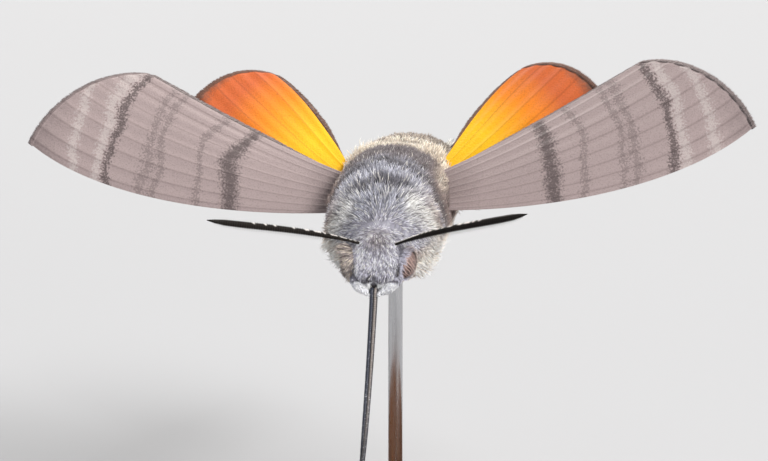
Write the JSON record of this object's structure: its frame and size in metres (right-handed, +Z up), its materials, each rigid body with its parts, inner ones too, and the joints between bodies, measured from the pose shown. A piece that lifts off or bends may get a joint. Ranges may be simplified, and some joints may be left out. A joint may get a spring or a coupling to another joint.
{
  "type": "hummingbird hawk moth",
  "caption": "Life-size hawk moth hovering with its wings out to the sides and its feeding tube hanging down, held over a round wooden base by a thin rod.",
  "frame": {"origin": "centre of the stand's underside", "axes": "the moth faces -Y, its own left is towards +X, and +Z is up"},
  "size_m": [0.05, 0.0411, 0.041],
  "materials": {
    "grey_fur": "short grey fur",
    "brown_fur": "short brown-grey fur with black and white side tufts",
    "pale_fur": "short pale fur, white below",
    "eye": "glossy brown, with darker stripes",
    "dark_horn": "dark satin chitin with fine pale scales",
    "forewing_scales": "fine grey-brown scales with darker cross bands",
    "hindwing_scales": "fine orange scales with a brown border",
    "tail_scales": "long black scales, white at the sides",
    "walnut": "oiled dark wood",
    "steel": "satin steel"
  },
  "bodies": {
    "root": {"thorax": "grey_fur", "head": "grey_fur", "eye_left": "eye", "eye_right": "eye", "palp_left": "pale_fur", "palp_right": "pale_fur", "antenna_left": "dark_horn", "antenna_right": "dark_horn", "proboscis_upper": "dark_horn", "proboscis_lower": "dark_horn", "abdomen_front": "brown_fur", "abdomen_rear": "brown_fur", "tail_fan": "tail_scales", "forewing_left": "forewing_scales", "forewing_right": "forewing_scales", "hindwing_left": "hindwing_scales", "hindwing_right": "hindwing_scales", "foreleg_left": "brown_fur", "foreleg_right": "brown_fur", "midleg_left": "brown_fur", "midleg_right": "brown_fur", "hindleg_left": "brown_fur", "hindleg_right": "brown_fur", "stand_base": "walnut", "stand_rod": "steel"}
  },
  "joints": []
}
